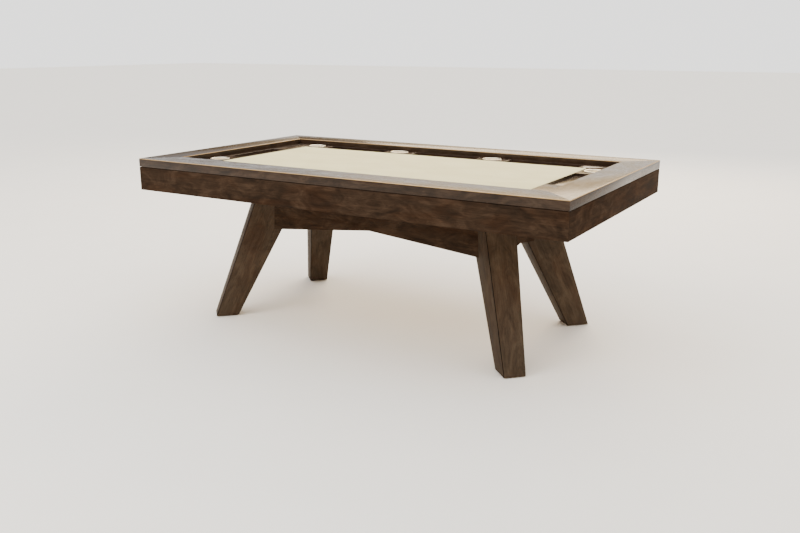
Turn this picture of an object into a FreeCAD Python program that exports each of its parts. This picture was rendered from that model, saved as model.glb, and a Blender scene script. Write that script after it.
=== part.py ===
"""Seven-foot game table: a lift-out card top set in mitred rails over a bumper pool bed.

Millimetres, +Z up. The origin is on the floor under the middle of the table, +X runs along the
long side and +Y towards the back. The driving sizes are in the sheet "Size"; every piece is bound
to them. A piece is a Body where it is sketched and padded, lofted or turned, and primitives with
booleans where it is plain stock.
"""
import FreeCAD, Part
import os
import Sketcher

Vector = FreeCAD.Vector
Rotation = FreeCAD.Rotation
Placement = FreeCAD.Placement

# alias, value, what it is
SIZES = [
    ("table_length", "2210", "overall, along X"),
    ("table_width", "1252", "overall, along Y"),
    ("table_height", "813", "floor to the top of the rails"),
    ("body_depth", "155", "top of the rails to the bottom edge of the aprons"),
    ("side_rail_width", "150", "flat top rails along the long sides"),
    ("end_rail_width", "146", "flat top rails across the ends"),
    ("rail_thick", "40", "top rails"),
    ("arris_round", "3", "rounding of the rails' long top edges"),
    ("shadow_gap", "3", "height of the dark line under the rails"),
    ("shadow_depth", "6", "how far that line is cut back"),
    ("apron_thick", "30", "side boards under the rails"),
    ("block_size", "60", "square glue blocks in the apron corners"),
    ("bed_thick", "22", "bed panel"),
    ("bed_cloth_thick", "1.2", "cloth on the bed"),
    ("panel_play", "1", "gap round the bed panel inside the aprons"),
    ("cushion_reach", "38", "cushion nose to the face of its rail block"),
    ("cushion_set_back", "3", "cushion nose behind the rails' inner edge"),
    ("cushion_under", "3", "gap between bed cloth and cushion"),
    ("cushion_tall", "36", "underside to top of a cushion"),
    ("cushion_over", "15.8", "gap between cushion and top rail"),
    ("cushion_web", "14", "thickness of the cushion's lower lip"),
    ("bearer_width", "150", "cross bearers under the bed"),
    ("pocket_radius", "38", "outside of a pocket cup"),
    ("pocket_wall", "2", "pocket cup wall"),
    ("pocket_deep", "50", "pocket cup depth under its rim"),
    ("pocket_rim", "6", "rim beyond the pocket cup's wall"),
    ("rim_thick", "1.5", "pocket cup rim"),
    ("pocket_inset", "58", "pocket centre to the end cushion's nose"),
    ("pocket_play", "0.5", "gap round a pocket cup"),
    ("bumper_radius", "32", "rubber ring on a bumper"),
    ("bumper_tall", "32", "rubber ring height"),
    ("bumper_post", "15", "radius of the post inside the ring"),
    ("bumper_cap_lip", "6", "cap that holds the ring down, beyond its post"),
    ("bumper_cap_thick", "4", "that cap"),
    ("bumper_play", "0.1", "gap between post and ring"),
    ("bumper_pitch", "95", "bumper to bumper in the middle cross"),
    ("guard_spread", "110", "pocket bumpers, each side of the long axis"),
    ("guard_inset", "100", "pocket bumpers, in from the end cushion's nose"),
    ("top_recess", "26", "rail top down to the card top's wood"),
    ("top_play", "2", "gap round the card top inside the rails"),
    ("base_thick", "12", "card top's plywood base"),
    ("surround_thick", "12", "card top's wood surround"),
    ("side_margin", "8.5", "wood each side of a cup holder's flange, long sides"),
    ("end_margin", "13.5", "wood each side of a cup holder's flange, ends"),
    ("field_rise", "1.5", "padded cloth above the surround"),
    ("field_play", "0.5", "gap between padded cloth and surround"),
    ("slot_width", "86", "chip slot"),
    ("slot_lip", "4", "wood between a chip slot and the padded cloth"),
    ("wood_before_slot", "46.5", "long side, cup holder's flange to its own chip slot"),
    ("wood_after_slot", "30.5", "long side, chip slot to the next cup holder's flange"),
    ("end_slot_wood", "52.5", "end, cup holder's flange to its chip slot"),
    ("first_cup_inset", "116.5", "long side, card top's end to the first flange"),
    ("last_slot_inset", "172", "long side, last chip slot to the card top's end"),
    ("end_cup_inset", "144.5", "end, card top's long edge to the flange"),
    ("liner_thick", "1", "walnut veneer floor of a chip slot"),
    ("liner_play", "0.5", "gap round that floor"),
    ("cup_radius", "42", "outside of a cup holder's wall"),
    ("cup_wall", "1.5", "cup holder wall"),
    ("cup_deep", "45", "cup holder, underside of flange to its bottom"),
    ("flange_lip", "6.5", "cup holder flange beyond its wall"),
    ("flange_thick", "2", "cup holder flange"),
    ("cup_play", "0.8", "gap round a cup holder's wall"),
    ("lift_gap", "0.3", "gap between pieces that only rest on each other"),
    ("top_foot_radius", "18", "feet under the card top"),
    ("top_foot_side", "174", "those feet, in from the card top's long edges"),
    ("top_foot_end", "217", "outer four feet, in from the card top's ends"),
    ("top_foot_near", "300", "inner four feet, from the short axis"),
    ("foot_x", "799", "middle of a leg's foot, along X"),
    ("foot_y", "394", "middle of a leg's foot, along Y"),
    ("foot_depth", "111", "foot, towards the table's middle"),
    ("foot_width", "98.5", "foot, across"),
    ("inner_travel", "352", "inner face of a leg, inward from floor to body"),
    ("outer_travel", "244.4", "outer face of a leg, inward from floor to body"),
    ("side_travel", "24.3", "each side face of a leg, outward from floor to body"),
    ("leg_board", "18", "boards of the hollow legs"),
    ("arris_reveal", "2.5", "notch along the legs' mitred corners"),
    ("beam_thick", "40", "underframe beams"),
    ("side_beam_out", "42.7", "outer face of a long beam, beyond the legs' middle"),
    ("end_beam_out", "37.7", "outer face of an end beam, beyond the legs' middle"),
    ("beam_end_drop", "213", "beam bottom at the legs, under the body"),
    ("beam_mid_drop", "153", "long beam bottom at the middle, under the body"),
    ("end_mid_drop", "184", "end beam bottom at the middle, under the body"),
    ("plate_thick", "6", "steel plate in the top of a leg"),
    ("plate_play", "2", "gap round that plate inside the leg"),
    ("bolt_radius", "5", "bolts that hold the legs"),
    ("bolt_cover", "7", "bearer left above a bolt"),
    ("bolt_head_radius", "9", "bolt head"),
    ("bolt_head_thick", "6", "bolt head"),
    ("bolt_spread", "45", "each bolt from the middle of its plate"),
    ("bolt_play", "0.25", "gap round a bolt"),
    ("glide_thick", "4", "disc of a levelling foot"),
    ("glide_radius", "24", "disc of a levelling foot"),
    ("stem_radius", "5", "levelling screw"),
    ("stem_tall", "45", "levelling screw above its disc"),
    ("stem_play", "0.05", "running gap round the levelling screw"),
    ("foot_block_tall", "60", "wood block in the bottom of a leg"),
]

doc = FreeCAD.newDocument("game_table")
size_sheet = doc.addObject("Spreadsheet::Sheet", "Size")
nodes = []


def fill_sheet():
    for row, (alias, value, note) in enumerate(SIZES, start=1):
        size_sheet.set(f"A{row}", alias)
        size_sheet.set(f"B{row}", value)
        size_sheet.set(f"C{row}", note)
        size_sheet.setAlias(f"B{row}", alias)
    doc.recompute()


fill_sheet()

# Lengths worked out from the sheet, written as expressions so that the pieces stay bound to it.
HALF_X = "(Size.table_length / 2)"
HALF_Y = "(Size.table_width / 2)"
OPEN_X = f"({HALF_X} - Size.end_rail_width)"
OPEN_Y = f"({HALF_Y} - Size.side_rail_width)"
APRON_X = f"({HALF_X} - Size.apron_thick)"
APRON_Y = f"({HALF_Y} - Size.apron_thick)"
TOP = "Size.table_height"
RAIL_UNDER = f"({TOP} - Size.rail_thick)"
BODY_UNDER = f"({TOP} - Size.body_depth)"
PLAY = f"({RAIL_UNDER} - Size.cushion_over - Size.cushion_tall - Size.cushion_under)"
BED = f"({PLAY} - Size.bed_cloth_thick)"
BED_UNDER = f"({BED} - Size.bed_thick)"
NOSE_X = f"({OPEN_X} + Size.cushion_set_back)"
NOSE_Y = f"({OPEN_Y} + Size.cushion_set_back)"
BLOCK_X = f"({NOSE_X} + Size.cushion_reach)"
BLOCK_Y = f"({NOSE_Y} + Size.cushion_reach)"
CARD = f"({TOP} - Size.top_recess)"
CARD_BASE = f"({CARD} - Size.surround_thick)"
CARD_UNDER = f"({CARD_BASE} - Size.base_thick)"
CARD_X = f"({OPEN_X} - Size.top_play)"
CARD_Y = f"({OPEN_Y} - Size.top_play)"
FLANGE = "(Size.cup_radius + Size.flange_lip)"
SEAT_X = f"({CARD_X} - {FLANGE} - Size.end_margin)"
SEAT_Y = f"({CARD_Y} - {FLANGE} - Size.side_margin)"
FIELD_X = f"({SEAT_X} - {FLANGE} - Size.end_margin)"
FIELD_Y = f"({SEAT_Y} - {FLANGE} - Size.side_margin)"
SLOT_X = f"({FIELD_X} + Size.slot_lip + Size.slot_width / 2)"
SLOT_Y = f"({FIELD_Y} + Size.slot_lip + Size.slot_width / 2)"
FIRST_CUP = f"({CARD_X} - Size.first_cup_inset - {FLANGE})"
SEAT_ROW = f"({FIRST_CUP} + {CARD_X} - Size.last_slot_inset)"
SEAT_PITCH = f"(({SEAT_ROW} + Size.wood_after_slot + {FLANGE}) / 3)"
SLOT_WOOD = "(Size.wood_before_slot + Size.wood_after_slot)"
SLOT_HALF = f"(({SEAT_PITCH} - {SLOT_WOOD}) / 2 - {FLANGE})"
SLOT_OFFSET = f"({FLANGE} + Size.wood_before_slot + {SLOT_HALF})"
END_CUP_Y = f"({CARD_Y} - Size.end_cup_inset - {FLANGE})"
END_SLOT_HALF = f"({END_CUP_Y} - {FLANGE} - Size.end_slot_wood)"
POCKET_X = f"({NOSE_X} - Size.pocket_inset)"
BOLT_GRIP = f"({BED_UNDER} - {BODY_UNDER} - Size.bolt_cover)"
INNER_LEAN = f"(Size.inner_travel / {BODY_UNDER})"
OUTER_LEAN = f"(Size.outer_travel / {BODY_UNDER})"
SIDE_FLARE = f"(Size.side_travel / {BODY_UNDER})"
LEG_LEAN = f"(({INNER_LEAN} + {OUTER_LEAN}) / 2)"
DIAGONAL = "0.70710678"
SIDES = ("front", "back", "left", "right")
LEGS = {"front_left": (-1, -1), "front_right": (1, -1), "back_left": (-1, 1), "back_right": (1, 1)}


def number(expression):
    """The value that an expression has now."""
    result = size_sheet.evalExpression(expression)
    return float(getattr(result, "Value", result))


def keep(item, label):
    """Mark an object as a finished sub-part."""
    item.Label = label
    nodes.append(item)
    return item


def place(item, x="0", y="0", z="0"):
    for axis, expression in (("x", x), ("y", y), ("z", z)):
        if expression != "0":
            item.setExpression(f"Placement.Base.{axis}", expression)
    return item


def box(name, x_size, y_size, z_size, x, y, z):
    """A block of stock with its lowest corner at x, y, z."""
    item = doc.addObject("Part::Box", name)
    item.setExpression("Length", x_size)
    item.setExpression("Width", y_size)
    item.setExpression("Height", z_size)
    return place(item, x, y, z)


def cylinder(name, radius, height, x, y, z):
    item = doc.addObject("Part::Cylinder", name)
    item.setExpression("Radius", radius)
    item.setExpression("Height", height)
    return place(item, x, y, z)


def compound(name, items):
    group = doc.addObject("Part::Compound", name)
    group.Links = items
    return group


def cut(name, base, tool):
    result = doc.addObject("Part::Cut", name)
    result.Base = base
    result.Tool = tool
    return result


def hold(sketch, geometry, point, x, y):
    """Hold a point of a sketch at x, y, both written in terms of the sheet."""
    for kind, axis, expression in (("DistanceX", -2, x), ("DistanceY", -1, y)):
        value = number(expression)
        if abs(value) < 1e-9:
            sketch.addConstraint(Sketcher.Constraint("PointOnObject", geometry, point, axis))
        else:
            index = sketch.addConstraint(Sketcher.Constraint(kind, -1, 1, geometry, point, value))
            sketch.setExpression(f"Constraints[{index}]", expression)


def add_outline(sketch, corners):
    """A closed straight-sided outline, every corner held to the sheet."""
    points = [Vector(number(x), number(y), 0) for x, y in corners]
    first = sketch.GeometryCount
    count = len(points)
    for index in range(count):
        sketch.addGeometry(Part.LineSegment(points[index], points[(index + 1) % count]), False)
    for index in range(count):
        following = first + (index + 1) % count
        sketch.addConstraint(Sketcher.Constraint("Coincident", first + index, 2, following, 1))
    for index, (x, y) in enumerate(corners):
        hold(sketch, first + index, 1, x, y)


def add_bore(sketch, x, y, radius):
    centre = Vector(number(x), number(y), 0)
    circle = sketch.addGeometry(Part.Circle(centre, Vector(0, 0, 1), number(radius)), False)
    hold(sketch, circle, 3, x, y)
    index = sketch.addConstraint(Sketcher.Constraint("Radius", circle, number(radius)))
    sketch.setExpression(f"Constraints[{index}]", radius)


def new_sketch(body, name, role="XY_Plane", offset="0"):
    """A sketch on one of the body's own origin planes, raised along the plane's normal."""
    sketch = body.newObject("Sketcher::SketchObject", name)
    plane = next(item for item in body.Origin.OriginFeatures if item.Role == role)
    sketch.AttachmentSupport = [(plane, "")]
    sketch.MapMode = "FlatFace"
    if offset != "0":
        sketch.setExpression("AttachmentOffset.Base.z", offset)
    return sketch


def stacked(name, layers):
    """A board sketched from above in layers: (corners, windows, bores, base, thickness)."""
    body = doc.addObject("PartDesign::Body", name)
    for index, (corners, windows, bores, base, thickness) in enumerate(layers):
        sketch = new_sketch(body, f"{name}_outline_{index}", "XY_Plane", base)
        add_outline(sketch, corners)
        for window in windows:
            add_outline(sketch, window)
        for bore in bores:
            add_bore(sketch, *bore)
        pad = body.newObject("PartDesign::Pad", f"{name}_pad_{index}")
        pad.Profile = sketch
        pad.setExpression("Length", thickness)
    return body


def turned(name, profile, x="0", y="0"):
    """A turned piece: the profile's corners are radius and height above the floor."""
    body = doc.addObject("PartDesign::Body", name)
    sketch = new_sketch(body, f"{name}_profile", "XZ_Plane")
    add_outline(sketch, profile)
    spin = body.newObject("PartDesign::Revolution", f"{name}_turn")
    spin.Profile = sketch
    spin.ReferenceAxis = (sketch, ["V_Axis"])
    spin.Angle = 360
    return place(body, x, y)


def mitred(side, outer_x, outer_y, inner_x, inner_y):
    """Outline of one side of a rectangular frame whose corners are mitred."""
    if side in ("front", "back"):
        sign = "-" if side == "front" else ""
        return [(f"-{outer_x}", f"{sign}{outer_y}"), (outer_x, f"{sign}{outer_y}"),
                (inner_x, f"{sign}{inner_y}"), (f"-{inner_x}", f"{sign}{inner_y}")]
    sign = "-" if side == "left" else ""
    return [(f"{sign}{outer_x}", f"-{outer_y}"), (f"{sign}{outer_x}", outer_y),
            (f"{sign}{inner_x}", inner_y), (f"{sign}{inner_x}", f"-{inner_y}")]


def rectangle(half_x, half_y, x="0", y="0"):
    return [(f"{x} - {half_x}", f"{y} - {half_y}"), (f"{x} + {half_x}", f"{y} - {half_y}"),
            (f"{x} + {half_x}", f"{y} + {half_y}"), (f"{x} - {half_x}", f"{y} + {half_y}")]


# ---------------------------------------------------------------- body of the table

def top_rail(side):
    """Flat mitred rail; its two long top edges are rounded."""
    outline = mitred(side, HALF_X, HALF_Y, OPEN_X, OPEN_Y)
    body = stacked(f"cap_{side}", [(outline, [], [], RAIL_UNDER, "Size.rail_thick")])
    doc.recompute()
    pad = body.Tip
    along = Vector(1, 0, 0) if side in ("front", "back") else Vector(0, 1, 0)
    names = []
    for index, edge in enumerate(pad.Shape.Edges, start=1):
        run = edge.Vertexes[1].Point - edge.Vertexes[0].Point
        level = abs(edge.CenterOfMass.z - number(TOP)) < 0.01
        if level and abs(run.normalize().dot(along)) > 0.99:
            names.append(f"Edge{index}")
    rounding = body.newObject("PartDesign::Fillet", f"cap_{side}_rounding")
    rounding.Base = (pad, names)
    rounding.setExpression("Radius", "Size.arris_round")
    return keep(body, f"cap_{side}")


def apron(side):
    """Side board with a rebate along its top edge, which makes the dark line under the rail."""
    face = mitred(side, HALF_X, HALF_Y, APRON_X, APRON_Y)
    back_x = f"({HALF_X} - Size.shadow_depth)"
    back_y = f"({HALF_Y} - Size.shadow_depth)"
    tongue = mitred(side, back_x, back_y, APRON_X, APRON_Y)
    tall = "Size.body_depth - Size.rail_thick - Size.shadow_gap"
    tongue_base = f"({RAIL_UNDER} - Size.shadow_gap)"
    layers = [(face, [], [], BODY_UNDER, tall), (tongue, [], [], tongue_base, "Size.shadow_gap")]
    return keep(stacked(f"apron_{side}", layers), f"apron_{side}")


def rail_block(side):
    """Wood block under a rail that the cushion is glued to; it stands on the bed panel."""
    outline = mitred(side, APRON_X, APRON_Y, BLOCK_X, BLOCK_Y)
    body = stacked(f"rail_block_{side}", [(outline, [], [], BED, f"{RAIL_UNDER} - {BED}")])
    return keep(body, f"rail_block_{side}")


def cushion(side):
    """Rubber cushion, a lower lip under a nose that reaches to the rail's inner edge."""
    lip_x = f"({BLOCK_X} - Size.cushion_web)"
    lip_y = f"({BLOCK_Y} - Size.cushion_web)"
    under = f"({PLAY} + Size.cushion_under)"
    layers = [(mitred(side, BLOCK_X, BLOCK_Y, lip_x, lip_y), [], [], under, "Size.cushion_tall / 2"),
              (mitred(side, BLOCK_X, BLOCK_Y, NOSE_X, NOSE_Y), [], [],
               f"({under} + Size.cushion_tall / 2)", "Size.cushion_tall / 2")]
    return keep(stacked(f"cushion_{side}", layers), f"cushion_{side}")


def corner_blocks():
    """Four glue blocks in the corners of the aprons, under the bed."""
    tall = f"{BED_UNDER} - {BODY_UNDER}"
    blocks = []
    for leg, (along_x, along_y) in LEGS.items():
        x = f"{APRON_X} - Size.block_size" if along_x > 0 else f"-{APRON_X}"
        y = f"{APRON_Y} - Size.block_size" if along_y > 0 else f"-{APRON_Y}"
        size = "Size.block_size"
        blocks.append(box(f"block_{leg}", size, size, tall, x, y, BODY_UNDER))
    return keep(compound("corner_blocks", blocks), "apron_corner_blocks")


def bed():
    """Bed panel with its two pocket holes, and the cloth on it."""
    bore = "Size.pocket_radius + Size.pocket_play"
    pockets = [(POCKET_X, "0", bore), (f"-{POCKET_X}", "0", bore)]
    panel_outline = rectangle(f"({APRON_X} - Size.panel_play)", f"({APRON_Y} - Size.panel_play)")
    panel = stacked("bed_panel", [(panel_outline, [], pockets, BED_UNDER, "Size.bed_thick")])
    keep(panel, "bed_panel")
    cloth_outline = rectangle(BLOCK_X, BLOCK_Y)
    cloth = stacked("bed_cloth", [(cloth_outline, [], pockets, BED, "Size.bed_cloth_thick")])
    keep(cloth, "bed_cloth")


def pocket_cup(side):
    """Turned cup that hangs by its rim in the bed and catches the balls."""
    inside = "Size.pocket_radius - Size.pocket_wall"
    floor = f"{PLAY} - Size.pocket_deep"
    rim = "Size.pocket_radius + Size.pocket_rim"
    rim_top = f"{PLAY} + Size.rim_thick"
    profile = [("0", floor), ("Size.pocket_radius", floor), ("Size.pocket_radius", PLAY),
               (rim, PLAY), (rim, rim_top), (inside, rim_top),
               (inside, f"{floor} + Size.pocket_wall"), ("0", f"{floor} + Size.pocket_wall")]
    x = POCKET_X if side == "right" else f"-{POCKET_X}"
    return keep(turned(f"pocket_cup_{side}", profile, x), f"pocket_cup_{side}")


def bumper_places():
    """Eight bumpers in a cross at the middle and two guarding each pocket."""
    pitch = "Size.bumper_pitch"
    guard = f"({NOSE_X} - Size.guard_inset)"
    places = []
    for sign in ("", "-"):
        for step in (1, 2):
            places.append((f"{sign}{pitch} * {step}", "0"))
            places.append(("0", f"{sign}{pitch} * {step}"))
        places.append((f"{sign}{guard}", "Size.guard_spread"))
        places.append((f"{sign}{guard}", "-Size.guard_spread"))
    return places


def bumpers():
    """Twelve posts with caps, and the rubber ring held under each cap."""
    gap = "Size.bumper_play"
    ring_top = f"{PLAY} + Size.bumper_tall"
    cap_base = f"{ring_top} + {gap}"
    cap_top = f"{cap_base} + Size.bumper_cap_thick"
    bore = f"Size.bumper_post + {gap}"
    cap = "Size.bumper_post + Size.bumper_cap_lip"
    post = [("0", PLAY), ("Size.bumper_post", PLAY), ("Size.bumper_post", cap_base),
            (cap, cap_base), (cap, cap_top), ("0", cap_top)]
    ring = [(bore, PLAY), ("Size.bumper_radius", PLAY), ("Size.bumper_radius", ring_top),
            (bore, ring_top)]
    posts = []
    rings = []
    for index, (x, y) in enumerate(bumper_places(), start=1):
        posts.append(turned(f"bumper_post_{index}", post, x, y))
        rings.append(turned(f"bumper_ring_{index}", ring, x, y))
    keep(compound("bumper_posts_all", posts), "bumper_posts")
    keep(compound("bumper_rings_all", rings), "bumper_rings")


# ---------------------------------------------------------------- legs and underframe

def leg_axis(coordinate, level):
    """Where the middle line of a leg is at a level, from the table's middle."""
    return f"(Size.foot_{coordinate} - {DIAGONAL} * {LEG_LEAN} * {level})"


def to_leg(item, along_x, along_y):
    """Move a piece drawn about a foot's middle, +X outward, to its leg."""
    angle = {(1, 1): 45, (-1, 1): 135, (-1, -1): 225, (1, -1): 315}[(along_x, along_y)]
    item.Placement = Placement(Vector(0, 0, 0), Rotation(Vector(0, 0, 1), angle))
    x = "Size.foot_x" if along_x > 0 else "-Size.foot_x"
    y = "Size.foot_y" if along_y > 0 else "-Size.foot_y"
    return place(item, x, y)


def leg_section(level, inset="0"):
    """Inner face, outer face and side face of a leg at a level, moved inward by an inset."""
    inner = f"(-Size.foot_depth / 2 - {INNER_LEAN} * {level} + {inset})"
    outer = f"(Size.foot_depth / 2 - {OUTER_LEAN} * {level} - {inset})"
    side = f"(Size.foot_width / 2 + {SIDE_FLARE} * {level} - {inset})"
    return inner, outer, side


def leg_outline(level, inset="0"):
    inner, outer, side = leg_section(level, inset)
    return [(inner, f"-{side}"), (outer, f"-{side}"), (outer, side), (inner, side)]


def board_outline(face, level):
    """One mitred board of a leg: its visible face, a notch at each corner, its inside face."""
    inner, outer, side = leg_section(level)
    notch_inner, notch_outer, notch_side = leg_section(level, "Size.arris_reveal")
    back_inner, back_outer, back_side = leg_section(level, "Size.leg_board")
    if face in ("inner", "outer"):
        front, step, back = {"inner": (inner, notch_inner, back_inner),
                             "outer": (outer, notch_outer, back_outer)}[face]
        return [(front, f"-{notch_side}"), (front, notch_side), (step, notch_side),
                (back, back_side), (back, f"-{back_side}"), (step, f"-{notch_side}")]
    sign = "-" if face == "near" else ""
    return [(notch_inner, f"{sign}{side}"), (notch_outer, f"{sign}{side}"),
            (notch_outer, f"{sign}{notch_side}"), (back_outer, f"{sign}{back_side}"),
            (back_inner, f"{sign}{back_side}"), (notch_inner, f"{sign}{notch_side}")]


def lofted(name, outline_at, base, top):
    """A straight tapered piece between two levels; outline_at gives its section at a level."""
    body = doc.addObject("PartDesign::Body", name)
    sections = []
    for tag, level in (("low", base), ("high", top)):
        sketch = new_sketch(body, f"{name}_{tag}", "XY_Plane", level)
        add_outline(sketch, outline_at(level))
        sections.append(sketch)
    loft = body.newObject("PartDesign::AdditiveLoft", f"{name}_loft")
    loft.Profile = sections[0]
    loft.Sections = [sections[1]]
    loft.Ruled = True
    return body


def leg(name, along_x, along_y):
    """Hollow leg of four mitred boards; boards that face each other share a node."""
    base = "Size.glide_thick"
    for pair, faces in (("wide", ("near", "far")), ("narrow", ("inner", "outer"))):
        boards = []
        for face in faces:
            board_name = f"leg_{name}_{face}"
            boards.append(lofted(board_name, lambda z, face=face: board_outline(face, z), base,
                                 BODY_UNDER))
        group = to_leg(compound(f"leg_{name}_{pair}", boards), along_x, along_y)
        keep(group, f"leg_{name}_{pair}_boards")


def foot_block(name, along_x, along_y):
    """Block glued in the bottom of a leg, bored for the levelling screw."""
    base = "Size.glide_thick"
    inset = "(Size.leg_board + Size.lift_gap)"
    solid = lofted(f"foot_block_{name}", lambda z: leg_outline(z, inset), base,
                   f"({base} + Size.foot_block_tall)")
    bore = cylinder(f"foot_bore_{name}", "Size.stem_radius + Size.stem_play",
                    "Size.foot_block_tall + 2 * Size.glide_thick", "0", "0", "0")
    return to_leg(cut(f"bored_block_{name}", solid, bore), along_x, along_y)


def bolts_of(name, radius, base, tall):
    """Two cylinders on the middle line of a leg's top, where its bolts go."""
    middle = f"(-{LEG_LEAN} * {BODY_UNDER})"
    return [cylinder(f"{name}_{tag}", radius, tall, f"{middle} {sign} Size.bolt_spread", "0", base)
            for tag, sign in (("in", "-"), ("out", "+"))]


def leg_fixings():
    """Steel plates in the legs' tops, the bolts through them and the bearers they go into."""
    plate_under = f"({BODY_UNDER} - Size.plate_thick)"
    inset = "(Size.leg_board + Size.plate_play)"
    plates = []
    bolts = []
    holes = []
    for name, (along_x, along_y) in LEGS.items():
        blank = lofted(f"plate_{name}", lambda z: leg_outline(z, inset), plate_under, BODY_UNDER)
        bore = compound(f"plate_bores_{name}", bolts_of(
            f"plate_bore_{name}", "Size.bolt_radius + Size.bolt_play", plate_under,
            "Size.plate_thick"))
        plates.append(to_leg(cut(f"bored_plate_{name}", blank, bore), along_x, along_y))
        shanks = bolts_of(f"shank_{name}", "Size.bolt_radius", plate_under,
                          f"Size.plate_thick + {BOLT_GRIP}")
        heads = bolts_of(f"head_{name}", "Size.bolt_head_radius",
                         f"{plate_under} - Size.bolt_head_thick", "Size.bolt_head_thick")
        for index, (shank, head) in enumerate(zip(shanks, heads)):
            bolt = doc.addObject("Part::MultiFuse", f"bolt_{name}_{index}")
            bolt.Shapes = [shank, head]
            bolts.append(to_leg(bolt, along_x, along_y))
        hole = compound(f"bearer_holes_{name}", bolts_of(
            f"bearer_hole_{name}", "Size.bolt_radius + Size.bolt_play", BODY_UNDER,
            f"{BOLT_GRIP} + Size.lift_gap"))
        holes.append(to_leg(hole, along_x, along_y))
    keep(compound("plates", plates), "leg_top_plates")
    keep(compound("bolts", bolts), "leg_bolts")
    tall = f"{BED_UNDER} - {BODY_UNDER}"
    middle = leg_axis("x", BODY_UNDER)
    blanks = [box(f"bearer_{tag}", "Size.bearer_width", f"2 * {APRON_Y}", tall,
                  f"{sign} * {middle} - Size.bearer_width / 2", f"-{APRON_Y}", BODY_UNDER)
              for tag, sign in (("left", "-1"), ("middle", "0"), ("right", "1"))]
    bearers = cut("bored_bearers", compound("bearer_blanks", blanks), compound("bearer_holes", holes))
    keep(bearers, "bed_bearers")


def underframe():
    """Four beams between the legs, their bottom edges lowest where they meet the legs."""
    envelopes = []
    for name, (along_x, along_y) in LEGS.items():
        solid = lofted(f"envelope_{name}", leg_outline, "Size.glide_thick", BODY_UNDER)
        envelopes.append(to_leg(solid, along_x, along_y))
    legs = compound("leg_envelopes", envelopes)
    beam_middle = f"({BODY_UNDER} - Size.beam_end_drop / 2)"
    low = f"({BODY_UNDER} - Size.beam_end_drop)"
    for side in SIDES:
        long_side = side in ("front", "back")
        reach = leg_axis("x" if long_side else "y", beam_middle)
        drop = "Size.beam_mid_drop" if long_side else "Size.end_mid_drop"
        outline = [(f"-{reach}", BODY_UNDER), (f"-{reach}", low), ("0", f"{BODY_UNDER} - {drop}"),
                   (reach, low), (reach, BODY_UNDER)]
        body = doc.addObject("PartDesign::Body", f"beam_blank_{side}")
        plane = "XZ_Plane" if long_side else "YZ_Plane"
        sketch = new_sketch(body, f"beam_outline_{side}", plane)
        add_outline(sketch, outline)
        pad = body.newObject("PartDesign::Pad", f"beam_pad_{side}")
        pad.Profile = sketch
        pad.setExpression("Length", "Size.beam_thick")
        # the sketch on XZ pads towards -Y, the one on YZ towards +X
        if long_side:
            outer = f"({leg_axis('y', beam_middle)} + Size.side_beam_out)"
            place(body, y=outer if side == "back" else f"Size.beam_thick - {outer}")
        else:
            outer = f"({leg_axis('x', beam_middle)} + Size.end_beam_out)"
            place(body, x=f"{outer} - Size.beam_thick" if side == "right" else f"-{outer}")
        keep(cut(f"beam_cut_{side}", body, legs), f"beam_{side}")


def leveller(name, along_x, along_y):
    """Levelling foot: a disc on a screw that runs in the leg's foot block."""
    top = "Size.glide_thick - Size.lift_gap"
    profile = [("0", "0"), ("Size.glide_radius", "0"), ("Size.glide_radius", top),
               ("Size.stem_radius", top), ("Size.stem_radius", f"{top} + Size.stem_tall"),
               ("0", f"{top} + Size.stem_tall")]
    body = turned(f"leveller_{name}", profile)
    return keep(to_leg(body, along_x, along_y), f"leveller_{name}")


# ---------------------------------------------------------------- lift-out card top

def seats(side):
    """Cup centres and slot middles of one side, each cup at its player's right hand."""
    if side in ("left", "right"):
        sign = "-" if side == "left" else ""
        return [(f"{sign}{SEAT_X}", f"{sign}{END_CUP_Y}")], [(f"{sign}{SLOT_X}", "0")]
    sign = "-1" if side == "front" else "1"
    cups = []
    slots = []
    for step in range(3):
        x = f"{sign} * ({step} * {SEAT_PITCH} - {FIRST_CUP})"
        cups.append((x, f"{sign} * {SEAT_Y}"))
        slots.append((f"{x} + {sign} * {SLOT_OFFSET}", f"{sign} * {SLOT_Y}"))
    return cups, slots


def slot_half_sizes(side):
    if side in ("left", "right"):
        return "Size.slot_width / 2", END_SLOT_HALF
    return SLOT_HALF, "Size.slot_width / 2"


def surround(side):
    """Mitred board of the card top with its chip slots and cup holes cut through."""
    cups, slots = seats(side)
    half_x, half_y = slot_half_sizes(side)
    windows = [rectangle(half_x, half_y, x, y) for x, y in slots]
    bores = [(x, y, "Size.cup_radius + Size.cup_play") for x, y in cups]
    outline = mitred(side, CARD_X, CARD_Y, FIELD_X, FIELD_Y)
    body = stacked(f"surround_{side}", [(outline, windows, bores, CARD_BASE, "Size.surround_thick")])
    return keep(body, f"surround_{side}")


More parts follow.
